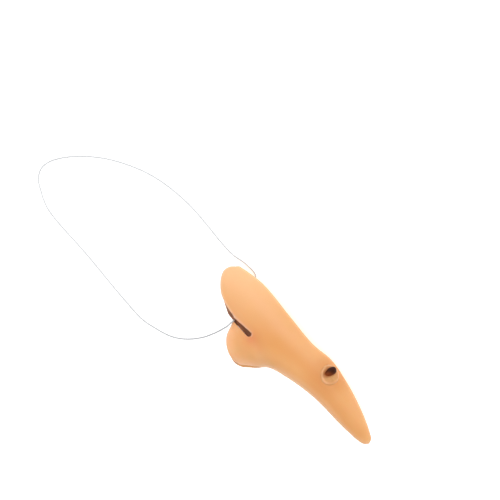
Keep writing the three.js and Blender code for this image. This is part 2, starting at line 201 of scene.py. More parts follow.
class Finish:
    """A material and the nodes that make its colour, gloss and grain."""

    def __init__(self, name):
        self.material = bpy.data.materials.new(name)
        self.material.use_nodes = True
        self.tree = self.material.node_tree
        self.tree.nodes.clear()

    def node(self, kind, settings=None, inputs=None, output=0):
        """Adds a node: its type, its settings, and the values or wires of its sockets by name or number."""
        made = self.tree.nodes.new(kind)
        for setting, value in (settings or {}).items():
            setattr(made, setting, value)
        for socket, value in (inputs or {}).items():
            target = find_socket(made.inputs, socket)
            if isinstance(value, Wire):
                self.tree.links.new(value.socket, target)
            else:
                target.default_value = value
        return Wire(self, find_socket(made.outputs, output)) if made.outputs else None

    def place(self):
        return self.node("ShaderNodeTexCoord", output="Object")

    def attribute(self, name):
        return self.node("ShaderNodeAttribute", {"attribute_name": name}, output="Fac")

    def noise(self, scale, detail=2, seed=0.0):
        """Noise about 0.5, with so many swells to a metre."""
        inputs = {"Vector": self.place(), "W": seed, "Scale": scale, "Detail": detail}
        return self.node("ShaderNodeTexNoise", {"noise_dimensions": "4D"}, inputs, output="Fac")

    def blend(self, factor, first, second):
        inputs = {"Factor_Float": factor, "A_Color": first, "B_Color": second}
        return self.node("ShaderNodeMix", {"data_type": "RGBA"}, inputs, output="Result_Color")

    def tint(self, colour, mark_name, strength, code):
        """Colours the places that have a mark."""
        return self.blend(self.attribute(mark_name) * strength, colour, paint(code))

    def step(self, value, low, high):
        """0 below low and 1 above high, with a soft step between."""
        settings = {"interpolation_type": "SMOOTHSTEP"}
        inputs = {"Value": value, "From Min": low, "From Max": high}
        return self.node("ShaderNodeMapRange", settings, inputs)

    def vector_math(self, operation, first, second=(0, 0, 0), output="Vector"):
        return self.node("ShaderNodeVectorMath", {"operation": operation}, {0: first, 1: second}, output)

    def bump(self, height, distance, strength, under=None):
        inputs = {"Height": height, "Distance": distance, "Strength": strength}
        if under is not None:
            inputs["Normal"] = under
        return self.node("ShaderNodeBump", None, inputs)

    def surface(self, **sockets):
        """Ends the finish in one Principled shader. A socket's name is written with _ for a space."""
        inputs = {name.replace("_", " "): value for name, value in sockets.items()}
        shader = self.node("ShaderNodeBsdfPrincipled", None, inputs)
        self.node("ShaderNodeOutputMaterial", None, {"Surface": shader})
        return self.material


def find_socket(sockets, key):
    if isinstance(key, int):
        return sockets[key]
    return next(s for s in sockets if key in (s.identifier, s.name))


def paint(code):
    """The linear colour of a hex colour code."""
    channels = [int(code[i:i + 2], 16) / 255 for i in (1, 3, 5)]
    return tuple(c / 12.92 if c <= 0.04045 else ((c + 0.055) / 1.055) ** 2.4 for c in channels) + (1,)


SOFT_VINYL = {
    "Specular_IOR_Level": 0.35, "IOR": 1.5,
    "Subsurface_Weight": 0.2, "Subsurface_Scale": 0.8 * MM, "Subsurface_Radius": (1.0, 0.42, 0.2),
}
SKIN_TINTS = [
    # mark, strength, colour
    # painted light: paler along the ridge
    ("ridge", 0.4, "#e8b085"),
    # painted light: the top of the bridge paler, as lit from above
    ("bridge", 0.85, "#f0be8b"),
    # painted shade: a darker band down the middle of each side
    ("shaded_band", 0.75, "#d99655"),
    ("by_slit", 0.6, "#d6945c"),
    # painted light: paler along the lower edge, as light thrown up from the table
    ("underside", 0.5, "#f2bc90"),
    # painted sheen: paler at the wing's edge by the rim
    ("wing_edge", 0.6, "#f3ba8e"),
    # painted shade: darker and redder in the crease round the wing
    ("fold", 0.3, "#d48753"),
    ("low_fold", 0.25, "#e4b08c"),
    ("flush", 0.8, "#d58756"),
    # painted shade: darker round the wart on the right side
    ("by_wart", 0.55, "#d08848"),
]


def flesh_vinyl():
    """Slush-cast soft vinyl: peach, cloudy, satin, and paler where it was trimmed, with light and shade
    painted in:
    painted shade darker and redder in the folds, down each side, round the wart, in the hollow and in the
    slits, and painted light paler on the ridge, the bridge, the underside, the wing's edge, the slit's upper
    lip and the hollow's lower opening.
    """
    finish = Finish("flesh_vinyl")
    clouds = finish.step(finish.noise(38, detail=3, seed=2.0), 0.3, 0.7)
    patches = finish.step(finish.noise(130, detail=2, seed=7.0), 0.35, 0.75)
    specks = finish.step(finish.noise(1500, detail=2, seed=4.0), 0.55, 0.8)
    colour = finish.blend(clouds, paint("#e2a86b"), paint("#db9e5e"))
    colour = finish.blend(patches * 0.35, colour, paint("#e1a06e"))
    for mark_name, strength, code in SKIN_TINTS:
        colour = finish.tint(colour, mark_name, strength, code)
    colour = finish.blend(specks * 0.12, colour, paint("#d08a55"))
    # Painted shade inside the hollow: darker than the skin, darker still deep in and round the slits,
    # and painted light, paler, near the lower opening where light comes in.
    hollow_colour = finish.tint(paint("#b08066"), "deep", 1, "#9a6a4c")
    hollow_colour = finish.tint(hollow_colour, "behind_slit", 1, "#7a4830")
    hollow_colour = finish.tint(hollow_colour, "by_lip", 0.85, "#e6b08c")
    colour = finish.blend(finish.attribute("inside") * 0.95, colour, hollow_colour)
    # Painted highlight: paler on the slit's upper lip.
    colour = finish.tint(colour, "lip", 0.85, "#e0ab8c")
    colour = finish.tint(colour, "trimmed", 0.6, "#e8c2a4")
    # Painted shade: the slit's cut faces dark brown, darkest towards its round end.
    slit_colour = finish.tint(paint("#ab6c48"), "slit_end", 1, "#74402a")
    colour = finish.blend(finish.attribute("in_slit"), colour, slit_colour)
    grain = finish.noise(2600, detail=3, seed=11.0)
    swells = finish.noise(260, detail=2, seed=5.0)
    normal = finish.bump(swells, 0.35 * MM, 0.25)
    normal = finish.bump(grain, 0.05 * MM, 0.35, under=normal)
    roughness = 0.44 + finish.noise(420, detail=2, seed=9.0) * 0.14 + finish.attribute("inside") * 0.12
    return finish.surface(
        Base_Color=colour, Roughness=roughness, Normal=normal, **SOFT_VINYL,
        Sheen_Weight=0.12, Sheen_Roughness=0.35, Sheen_Tint=(1, 0.85, 0.7, 1),
    )


def wart_vinyl():
    """The wart's own casting: a tan pad with a rolled ring round it, paler on the ring as painted
    highlight and darker in its moat and at its edge as painted shade.
    """
    finish = Finish("wart_vinyl")
    blotches = finish.step(finish.noise(700, detail=3, seed=3.0), 0.3, 0.7)
    colour = finish.blend(blotches, paint("#cd975f"), paint("#c58c55"))
    # Painted highlight on the ring, painted shade in the moat and at the pad's edge.
    colour = finish.tint(colour, "ring", 0.75, "#ecb688")
    colour = finish.tint(colour, "moat", 0.35, "#cd8c56")
    colour = finish.tint(colour, "stain", 0.85, "#a25c2c")
    normal = finish.bump(finish.noise(2400, detail=3, seed=6.0), 0.06 * MM, 0.5)
    roughness = 0.42 + finish.noise(900, detail=1, seed=1.0) * 0.14
    return finish.surface(Base_Color=colour, Roughness=roughness, Normal=normal, **SOFT_VINYL)


def dark_gloss():
    """The wart's dark tip: brown black paint, thinner and redder at its lower end and round its foot."""
    finish = Finish("dark_gloss")
    cloudy = finish.attribute("thin") + finish.noise(900, detail=2, seed=8.0) * 0.4 - 0.2
    colour = finish.blend(finish.step(cloudy, 0.5, 1.15), paint("#3a1b0f"), paint("#7e3a16"))
    colour = finish.tint(colour, "foot", 1, "#a8622f")
    normal = finish.bump(finish.noise(1500, detail=2, seed=5.0), 0.08 * MM, 0.4)
    roughness = 0.3 + finish.noise(1200, detail=1, seed=2.0) * 0.14
    return finish.surface(
        Base_Color=colour, Roughness=roughness, Normal=normal, IOR=1.5, Specular_IOR_Level=0.06,
        Coat_Weight=0.03, Coat_Roughness=0.12,
    )


def white_elastic():
    """Braided cover over rubber: off-white yarn, greyer down between the strands as painted shade, greyer
    along its first stretch from the right slit, and darker in the slits and knots as painted shade."""
    finish = Finish("white_elastic")
    fibres = finish.noise(6000, detail=2, seed=2.0)
    # Painted shade: greyer down between the strands, near white on their crowns.
    colour = finish.tint(paint("#b4b6b9"), "strand", 1, "#e4e5e7")
    colour = finish.blend(fibres * 0.3, colour, paint("#c6c8ca"))
    # Greyer along the first stretch from the right slit.
    colour = finish.tint(colour, "greying", 0.5, "#9c9ea2")
    # Painted shade: darker in the slits and knots.
    colour = finish.tint(colour, "shaded_in_slit", 0.9, "#7a4a2c")
    normal = finish.bump(fibres, 0.03 * MM, 0.5)
    roughness = 0.62 + fibres * 0.2
    return finish.surface(Base_Color=colour, Roughness=roughness, Normal=normal, Specular_IOR_Level=0.3)


# The shade on the ground lies under the middle of the nose's hollow.

SHADE_MIDDLE = (-19 * MM, -10.5 * MM, 0)
SHADE_REACH = (17 * MM, 9 * MM, 1)


def white_ground():
    """A white table that glows a little by its own emission, as painted light, all round the nose and is left
    in the shade under it.
    """
    finish = Finish("white_ground")
    shade = finish.noise(3, detail=1)
    colour = finish.blend(shade, paint("#f8f8f8"), paint("#f5f5f5"))
    off_middle = finish.vector_math("SUBTRACT", finish.place(), SHADE_MIDDLE)
    in_reaches = finish.vector_math("DIVIDE", off_middle, SHADE_REACH)
    from_middle = finish.vector_math("LENGTH", in_reaches, output="Value")
    # Painted light: the table glows everywhere but in the patch under the nose.
    glow = finish.blend(finish.step(from_middle, 0.922, 1.049), paint("#000000"), paint("#ffffff"))
    return finish.surface(Base_Color=colour, Roughness=0.85, Emission_Color=glow, Emission_Strength=0.5)


# Shapes

def from_side(place):
    return np.array((place[0] * NOSE_REACH, place[1] * NOSE_HEIGHT))


def through(points, shares):
    """Points of a smooth line through the given ones, at shares of the way from the first to the last."""
    points = np.asarray(points, float)
    before = 2 * points[0] - points[1]
    after = 2 * points[-1] - points[-2]
    padded = np.vstack((before, points, after))
    steps = np.clip(np.asarray(shares, float), 0, 1) * (len(points) - 1)
    start = np.minimum(steps.astype(int), len(points) - 2)
    t = (steps - start)[:, None]
    p0, p1, p2, p3 = (padded[start + k] for k in range(4))
    leaving = (p2 - p0) / 2
    arriving = (p3 - p1) / 2
    bend = 2 * (p1 - p2) + leaving + arriving
    return p1 + t * (leaving + t * (3 * (p2 - p1) - 2 * leaving - arriving + t * bend))


def even_path(points, spacing):
    """Points at an even spacing along a centripetal Catmull-Rom curve through the given ones."""
    points = np.asarray(points, float)
    padded = np.vstack((2 * points[0] - points[1], points, 2 * points[-1] - points[-2]))
    dense = []
    fine = np.linspace(0, 1, 60, endpoint=False)[:, None]
    for p0, p1, p2, p3 in zip(padded, padded[1:], padded[2:], padded[3:]):
        k0, k1, k2 = (math.sqrt(np.linalg.norm(b - a)) for a, b in ((p0, p1), (p1, p2), (p2, p3)))
        leaving = k1 * ((p1 - p0) / k0 - (p2 - p0) / (k0 + k1) + (p2 - p1) / k1)
        arriving = k1 * ((p2 - p1) / k1 - (p3 - p1) / (k1 + k2) + (p3 - p2) / k2)
        bend = 2 * (p1 - p2) + leaving + arriving
        dense.append(p1 + fine * (leaving + fine * (3 * (p2 - p1) - 2 * leaving - arriving + fine * bend)))
    dense = np.vstack((*dense, points[-1:]))
    reached = np.concatenate(((0,), np.cumsum(np.linalg.norm(np.diff(dense, axis=0), axis=1))))
    marks = np.linspace(0, reached[-1], int(round(reached[-1] / spacing)) + 1)
    return np.column_stack([np.interp(marks, reached, dense[:, k]) for k in range(3)]), reached[-1]


def distance_to_line(x, z, line):
    """How far places seen from the side are from a line of points."""
    place = np.stack((x, z), axis=-1)[..., None, :]
    start, end = line[:-1], line[1:]
    run = end - start
    share = np.clip(((place - start) * run).sum(-1) / (run ** 2).sum(-1), 0, 1)[..., None]
    return np.linalg.norm(place - start - share * run, axis=-1).min(-1)


CREASE_LINE = through([from_side(p) for p in CREASE_PATH], np.linspace(0, 1, 40))
SHADED_LINE = through([from_side(p) for p in SHADED_BAND], np.linspace(0, 1, 40))
RIDGE_LINE = through([from_side(row[:2]) for row in SECTIONS], np.linspace(0, 1, 60))
UNDER_LINE = through([from_side(row[2:4]) for row in SECTIONS], np.linspace(0, 1, 60))


def fading(distance, width):
    """1 at no distance, and less and less with it. At twice the width hardly anything is left."""
    return np.exp(-((distance / width) ** 2))


def relief(x, z):
    """How far the side of the nose swells at its wing or folds in at its crease."""
    wing = from_side(WING_CENTRE)
    from_wing = np.hypot(x - wing[0], z - wing[1])
    from_crease = distance_to_line(x, z, CREASE_LINE)
    return WING_BULGE * fading(from_wing, WING_RADIUS) - CREASE_DEPTH * fading(from_crease, CREASE_WIDTH)


def skin_grid(alongs, angles):
    """Points of the nose's skin, a row for each share of the way from behind the rim to the tip."""
    table = np.array(SECTIONS)
    size = (NOSE_REACH, NOSE_HEIGHT)
    ridge = through(table[:, 0:2] * size, alongs)[:, None]
    under = through(table[:, 2:4] * size, alongs)[:, None]
    width, low_wide, flatness = through(table[:, 4:7], alongs).T[:, :, None]
    up = np.cos(angles)[None, :, None]
    side = np.sin(angles)[None, :]
    place = under + (ridge - under) * (1 + up) / 2
    flat = np.sign(side) * np.abs(side) ** (1 - flatness)
    y = width * NOSE_WIDTH / 2 * flat * (1 - low_wide * up[..., 0])
    y = y + side * relief(place[..., 0], place[..., 1])
    return np.stack((place[..., 0], y, place[..., 1]), axis=-1)


def closed_faces(rows, around):
    """Faces of a closed tube of rings, with a point at its front and a point at its back."""
    ring = np.arange(around)
    ahead = np.roll(ring, -1)
    starts = np.arange(rows - 1)[:, None] * around
    next_row = starts + around
    quads = np.stack((starts + ring, next_row + ring, next_row + ahead, starts + ahead), axis=-1)
    last = (rows - 1) * around
    front = rows * around
    fronts = [(last + i, front, last + j) for i, j in zip(ring, ahead)]
    backs = [(front + 1, i, j) for i, j in zip(ring, ahead)]
    return quads.reshape(-1, 4).tolist() + fronts + backs


def outward(grid):
    """The direction out of the skin at each point of a grid of rings."""
    forward = np.gradient(grid, axis=0)
    round_it = (np.roll(grid, -1, axis=1) - np.roll(grid, 1, axis=1)) / 2
    normal = np.cross(forward, round_it)
    return normal / np.maximum(np.linalg.norm(normal, axis=-1, keepdims=True), 1e-12)


def closed_skin(grid):
    rows, around = grid.shape[:2]
    ends = np.stack((grid[-1].mean(0), grid[0].mean(0)))
    return np.vstack((grid.reshape(-1, 3), ends)), closed_faces(rows, around)


def surface_tree(grid):
    points, faces = closed_skin(grid)
    return BVHTree.FromPolygons(points.tolist(), faces)


ROWS = 300
AROUND = 280
ANGLES = np.linspace(0, 2 * math.pi, AROUND, endpoint=False)


def outer_skin():
    return skin_grid(np.linspace(0, 1, ROWS, endpoint=False), ANGLES)


def hollow():
    """The space inside the wall. Its front end is rounded off."""
    grid = skin_grid(np.linspace(0, HOLLOW_END, ROWS), ANGLES)
    grid = grid - WALL * outward(grid)
    rounded = 24
    share = np.linspace(0, 1, rounded, endpoint=False)
    middle = grid[-rounded:].mean(axis=1, keepdims=True)
    grid[-rounded:] = middle + (grid[-rounded:] - middle) * np.sqrt(1 - share ** 2)[:, None, None]
    return grid


def new_object(name, points, faces):
    mesh = bpy.data.meshes.new(name)
    mesh.from_pydata([tuple(p) for p in points], [], [tuple(f) for f in faces])
    mesh.update()
    made = bpy.data.objects.new(name, mesh)
    bpy.context.scene.collection.objects.link(made)
    return made


def prism(name, outline, side=None):
    """An outline drawn in the side view and pushed through one side of the nose and a little past its middle,
    or, where no side is given, drawn from below and raised as high as the wings' middles."""
    count = len(outline)
    outline = np.asarray(outline, float)
    area = np.sum(outline[:, 0] * np.roll(outline[:, 1], -1) - outline[:, 1] * np.roll(outline[:, 0], -1))
    if (area > 0) == (side is not None):
        outline = outline[::-1]
    if side is None:
        points = [(x, y, z) for z in (0, from_side(WING_CENTRE)[1]) for x, y in outline]
    else:
        reach = sorted((-side * WALL, 1.5 * side * NOSE_WIDTH))
        points = [(x, y, z) for y in reach for x, z in outline]
    sides = [(i, (i + 1) % count, count + (i + 1) % count, count + i) for i in range(count)]
    caps = [tuple(reversed(range(count))), tuple(range(count, 2 * count))]
    return new_object(name, points, sides + caps)


def arc(centre, radius, start, end, steps=24):
    turn = np.linspace(start, end, steps)
    return np.column_stack((centre[0] + radius * np.cos(turn), centre[1] + radius * np.sin(turn)))


def rim_line(side):
    places = [from_side((right if side < 0 else left, z)) for right, left, z in RIM_OUTLINE]
    return through(places, np.linspace(0, 1, 240))


def behind_rim(side):
    """What is trimmed off behind one half of the rim. Both halves are alike at the middle."""
    rim = rim_line(side)
    far_back = -0.5 * NOSE_REACH
    top = 1.3 * NOSE_HEIGHT
    corners = [(far_back, rim[-1, 1]), (far_back, top), (rim[0, 0], top)]
    return prism("behind_rim", [*corners, *rim], side)


def slit_line(side):
    """Where one side's slit starts in the rim, and where the middle of its round end is."""
    return from_side(SLIT_MOUTH), from_side(RIGHT_SLIT_END if side < 0 else LEFT_SLIT_END)


def slit(side):
    mouth, end = slit_line(side)
    length = np.linalg.norm(end - mouth)
    mouth_half = SLIT_MOUTH_WIDTH / 2
    back = -2 * SLIT_END_WIDTH
    round_end = arc((length, 0), SLIT_END_WIDTH / 2, -math.pi / 2, math.pi / 2)
    lower = [(back, -mouth_half), (0, -mouth_half)]
    upper = [(0, mouth_half), (back, mouth_half)]
    outline = np.vstack((lower, round_end, upper))
    along = (end - mouth) / length
    across = np.array((-along[1], along[0]))
    return prism("slit", mouth + outline[:, :1] * along + outline[:, 1:] * across, side)


def lip_arch():
    front = LIP_ARCH_REACH * NOSE_REACH
    half = LIP_ARCH_WIDTH / 2
    round_end = arc((front - half, 0), half, -math.pi / 2, math.pi / 2)
    return prism("lip_arch", np.vstack(([(-half, half), (-half, -half)], round_end)))


def apply_modifiers(made):
    depsgraph = bpy.context.evaluated_depsgraph_get()
    mesh = bpy.data.meshes.new_from_object(made.evaluated_get(depsgraph))
    made.modifiers.clear()
    old = made.data
    made.data = mesh
    bpy.data.meshes.remove(old)


def cut(made, *cutters):
    for cutter in cutters:
        modifier = made.modifiers.new(cutter.name, "BOOLEAN")
        modifier.operation = "DIFFERENCE"
        modifier.solver = "MANIFOLD"
        modifier.object = cutter
        apply_modifiers(made)
        bpy.data.objects.remove(cutter)


def corners_of(mesh):
    points = np.empty(len(mesh.vertices) * 3)
    mesh.vertices.foreach_get("co", points)
    return points.reshape(-1, 3)


def set_corners(mesh, points):
    mesh.vertices.foreach_set("co", np.asarray(points, float).ravel())
    mesh.update()


def mark(mesh, name, values):
    """Keeps a number for each corner of the mesh, for its finish to read."""
    layer = mesh.attributes.new(name, "FLOAT", "POINT")
    layer.data.foreach_set("value", np.asarray(values, float))


def soften(mesh, rounds, share=0.5):
    """Moves each corner towards the middle of its neighbours, and back again by a little less shrinking."""
    points = corners_of(mesh)
    edges = np.empty(len(mesh.edges) * 2, int)
    mesh.edges.foreach_get("vertices", edges)
    one, other = edges.reshape(-1, 2).T
    count = np.bincount(np.concatenate((one, other)), minlength=len(points))[:, None]
    for _ in range(rounds):
        for amount in (share, -1.03 * share):
            total = np.zeros_like(points)
            np.add.at(total, one, points[other])
            np.add.at(total, other, points[one])
            points += amount * (total / count - points)
    set_corners(mesh, points)


def nearest(tree, points):
    """The nearest place on a surface to each point, and how far off it is."""
    found = [tree.find_nearest(Vector(p)) for p in points]
    return np.array([f[0] for f in found]), np.array([f[3] for f in found])


def soft_step(values, low, high):
    share = np.clip((values - low) / (high - low), 0, 1)
    return share * share * (3 - 2 * share)


# Laying the nose down

def laying_down(shell_points):
    """The move from the worn position to where the frame has the nose."""
    up = -LYING_DOWN.normalized()
    table = np.array(SECTIONS)
    ends = through(table[:, 0:2] * (NOSE_REACH, NOSE_HEIGHT), [0.1, 1])
    tip_way = Vector((ends[1, 0] - ends[0, 0], 0, ends[1, 1] - ends[0, 1]))
    ahead = (tip_way - up * tip_way.dot(up)).normalized()
    turn = np.array((ahead, up.cross(ahead), up))
    laid = shell_points @ turn.T
    low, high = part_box("nose_shell")
    shift = (np.array(low) + np.array(high)) / 2 - (laid.min(0) + laid.max(0)) / 2
    shift[2] = low[2] - laid[:, 2].min()
    return turn, shift


def finish_piece(made, material, slot_name, *nodes):
    made.data.materials.clear()
    made.data.materials.append(material)
    made.data.shade_smooth()
    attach(made, "root")
    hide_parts(*nodes)


# The nose

MESH_SIZE = 0.46 * MM


def slit_marks(points):
    """What lies round each half's slit, and how far each point is from its rim."""
    marks = {}
    for side in (-1, 1):
        here = side * points[:, 1] > 0
        place = points[here][:, ::2]
        mouth, end = slit_line(side)
        along = (end - mouth) / np.linalg.norm(end - mouth)
        above = soft_step((place - mouth) @ (-along[1], along[0]), -0.5 * MM, 0.5 * MM)
        from_slit = distance_to_line(*place.T, np.array((2 * mouth - end, end)))
        from_cut = distance_to_line(*place.T, np.array((mouth - 1 * MM * along, end)))
        past_end = end + 1.5 * MM * along - (0, 1 * MM)
        found = {
            # Painted shade: the slit's cut faces dark brown, darkest towards its round end.
            "in_slit": 1 - soft_step(from_cut, 1.6 * MM, 2.2 * MM),
            "slit_end": soft_step((place - mouth) @ along, 3 * MM, 10 * MM),
            # Painted highlight: paler on the slit's upper lip.
            "lip": (1 - soft_step(from_slit, 1.3 * MM, 2.3 * MM)) * above,
            "by_slit": fading(from_slit, 10 * MM),
            "behind_slit": fading(from_cut, 5 * MM),
            "flush": fading(np.linalg.norm(place - past_end, axis=1), 3 * MM),
            "from_rim": distance_to_line(*place.T, rim_line(side)[::6]),
        }
        for name, values in found.items():
            marks.setdefault(name, np.zeros(len(points)))[here] = values
    return marks


def shell_marks(points, depth):
    """Where the shell is folded, trimmed, slit, hollow, shaded and so on, from 0 to 1."""
    x, y, z = points.T
    on_skin = 1 - soft_step(depth, 0.1 * MM, 0.5 * MM)
    in_wall = soft_step(depth, 0.2 * MM, 0.6 * MM)
    high_up = soft_step(z, 41 * MM, 51 * MM)
    low_opening = (1 - soft_step(z, 38 * MM, 47 * MM)) * (1 - soft_step(x, 22 * MM, 34 * MM))
    slits = slit_marks(points)
    from_rim = slits["from_rim"]
    from_crease = distance_to_line(x, z, CREASE_LINE)
    from_band = distance_to_line(x, z, SHADED_LINE)
    from_ridge = distance_to_line(x, z, RIDGE_LINE)
    from_under = distance_to_line(x, z, UNDER_LINE)
    from_wart = np.linalg.norm(points[:, ::2] - from_side(WART_PLACE), axis=1)
    band_width = 5 * MM - 1.5 * MM * soft_step(x, 42 * MM, 62 * MM)
    pale_width = 4 * MM - 1.7 * MM * soft_step(x, 50 * MM, 66 * MM)
    tip_fade = 1 - 0.6 * soft_step(x, 50 * MM, 62 * MM)
    outside = {
        # Painted shade: darker and redder in the crease round the wing.
        "fold": fading(from_crease, 2.6 * MM) * soft_step(x, 10 * MM, 16 * MM) * high_up,
        "low_fold": fading(from_crease, 4 * MM) * (1 - high_up),
        "by_slit": slits["by_slit"],
        "flush": slits["flush"],
        # Painted shade: a darker band down the middle of each side.
        "shaded_band": fading(from_band, band_width),
        # Painted light: a paler band along the ridge.
        "ridge": fading(from_ridge - 8 * MM, 5 * MM) * tip_fade,
        # Painted light: paler along the lower edge, as light thrown up from the table.
        "underside": (1 - soft_step(from_under / pale_width, 0.2, 1)) * soft_step(x, 24 * MM, 34 * MM),
        # Painted sheen: paler at the wing's edge by the rim.
        "wing_edge": (1 - soft_step(from_rim, 0, 6 * MM)) * (1 - soft_step(z, 54 * MM, 60 * MM)),
        # Painted shade: darker round the wart on the right side.
        "by_wart": fading(from_wart - 5.5 * MM, 5 * MM) * (y < 0),
        # Painted light: the top of the bridge paler, as lit from above.
        "bridge": soft_step(z - 0.4 * x, 0.5 * NOSE_HEIGHT, NOSE_HEIGHT),
    }
    on_edge = (1 - soft_step(from_rim, 0.2 * MM, 1.1 * MM)) * (1 - soft_step(depth, 0.7 * MM, 1.3 * MM))
    return {name: values * on_skin for name, values in outside.items()} | {
        # Painted shade inside the hollow, deep in and behind the slits, with painted light by the lower
        # opening.
        "inside": soft_step(depth, 1.2 * MM, 1.7 * MM),
        "deep": soft_step(from_rim, 1 * MM, 6 * MM),
        "by_lip": low_opening,
        "behind_slit": slits["behind_slit"],
        # Painted shade: the slit's cut faces dark brown, darkest towards its round end.
        "in_slit": slits["in_slit"] * in_wall,
        "slit_end": slits["slit_end"],
        # Painted highlight: paler on the slit's upper lip.
        "lip": slits["lip"] * (1 - in_wall),
        "trimmed": on_edge * soft_step(z, 42 * MM, 54 * MM),
    }


def nose_shell(skin, inside, skin_tree, inside_tree):
    """The vinyl shell. Its cut edges are rounded, and its skin and inside keep their places."""
    shell = new_object("vinyl_nose", *closed_skin(skin))
    space = new_object("hollow", *closed_skin(inside))
    cut(shell, space, behind_rim(-1), behind_rim(1), slit(-1), slit(1), lip_arch())
    remesh = shell.modifiers.new("even", "REMESH")
    remesh.mode = "VOXEL"
    remesh.voxel_size = MESH_SIZE
    apply_modifiers(shell)
    soften(shell.data, 8)
    points = corners_of(shell.data)
    for tree in (skin_tree, inside_tree):
        onto, distance = nearest(tree, points)
        points += (onto - points) * (1 - soft_step(distance, 0.07 * MM, 0.22 * MM))[:, None]
    set_corners(shell.data, points)
    soften(shell.data, 4)
    points = corners_of(shell.data)
    for name, values in shell_marks(points, nearest(skin_tree, points)[1]).items():
        mark(shell.data, name, values)
    return shell


# The wart

PAD_RADIUS = 5.2 * MM
PAD_EDGE = 4.95 * MM
PAD_HEIGHT = 1.15 * MM
RING_AT = 4.5 * MM
RING_HEIGHT = 0.28 * MM
MOAT_AT = 3.5 * MM
TIP_LENGTH = 6.7 * MM
TIP_WIDTH = 3.8 * MM
TIP_HEIGHT = 2.1 * MM
TIP_SEAT = 1.2 * MM
TIP_FORWARD = -0.15 * MM
TIP_UP = 1.3 * MM
TIP_TURN = math.radians(29)


def on_side(tree, x, z, side):
    """The place on the skin seen from one side at x and z. side is 1 for left and -1 for right."""
    hit = tree.ray_cast(Vector((x, 2 * side * NOSE_WIDTH, z)), Vector((0, -side, 0)))
    return hit[0]


def skin_directions(tree, x, z, side):
    """Forward and upward along the skin at a place seen from one side."""
    reach = 1 * MM
    forward = on_side(tree, x + reach, z, side) - on_side(tree, x - reach, z, side)
    upward = on_side(tree, x, z + reach, side) - on_side(tree, x, z - reach, side)
    return forward.normalized(), upward.normalized()


def wart_frame(skin_tree):
    """The wart's middle on the skin, and its forward, upward and outward directions."""
    x, z = from_side(WART_PLACE)
    forward, upward = skin_directions(skin_tree, x, z, -1)
    out = -upward.cross(forward).normalized()
    return on_side(skin_tree, x, z, -1), forward, out.cross(forward), out


def drape(skin_tree, place, a, b):
    """Points of the skin under the plane of the wart, at a forward and b upward of its middle."""
    middle, forward, upward, out = place
    lifted = [middle + forward * u + upward * v + out * 8 * MM for u, v in zip(a, b)]
    return np.array([skin_tree.ray_cast(p, -out)[0] or skin_tree.find_nearest(p)[0] for p in lifted])


def wart(skin_tree, place):
    """A low pad with a rolled ring round it, sunk into the skin at its edge."""
    rings = 64
    around = 144
    shares = np.linspace(0, 1, rings + 1)[1:]
    angles = np.linspace(0, 2 * math.pi, around, endpoint=False)
    wobble = 1 + 0.02 * np.sin(2 * angles + 0.6) + 0.015 * np.sin(3 * angles + 2) + 0.008 * np.sin(7 * angles)
    uneven = 0.75 + 0.25 * np.sin(2 * angles + 0.9) + 0.12 * np.sin(5 * angles)
    out = np.array(place[3])
    points = []
    marks = {"ring": [], "moat": [], "stain": []}
    for share in shares:
        r = share * PAD_RADIUS
        a, b = 0.96 * r * wobble * np.cos(angles), 1.04 * r * wobble * np.sin(angles)
        base = drape(skin_tree, place, a, b)
        bead = RING_HEIGHT * fading(r - RING_AT, 0.6 * MM)
        dome = PAD_HEIGHT * (1 - 0.35 * (r / PAD_RADIUS) ** 2)
        lumps = 0.05 * MM * np.sin(3 * angles + 9 * share) * (1 - share)
        over_edge = math.sqrt(1 - share ** 10)
        points.append(base + out * ((dome + bead + lumps) * over_edge - 0.5 * MM * (1 - over_edge))[:, None])
        # Painted highlight on the ring, uneven round it.
        marks["ring"].append(fading(r - RING_AT, 0.55 * MM) * uneven)
        # Painted shade in the moat and at the pad's edge.
        moat = 0.6 * fading(r - MOAT_AT, 0.6 * MM) + soft_step(r, PAD_EDGE, PAD_RADIUS)
        marks["moat"].append(np.full(around, min(moat, 1)))
        along = (a - TIP_FORWARD) * math.cos(TIP_TURN) + (b - TIP_UP) * math.sin(TIP_TURN)
        beside = (b - TIP_UP) * math.cos(TIP_TURN) - (a - TIP_FORWARD) * math.sin(TIP_TURN)
        from_tip = np.hypot(2 * along / TIP_LENGTH, 2 * beside / TIP_WIDTH)
        marks["stain"].append(1 - soft_step(from_tip + 0.15 * along / TIP_LENGTH, 0.85, 1.5))
    middle = drape(skin_tree, place, [0], [0])[0]
    ends = np.vstack((middle + out * PAD_HEIGHT, middle - out * 1.2 * MM))
    points = np.vstack((np.array(points)[::-1].reshape(-1, 3), ends))
    made = new_object("wart_pad", points, closed_faces(rings, around))
    for name, rows in marks.items():
        mark(made.data, name, np.concatenate((np.array(rows)[::-1].ravel(), (0, 0))))
    return made


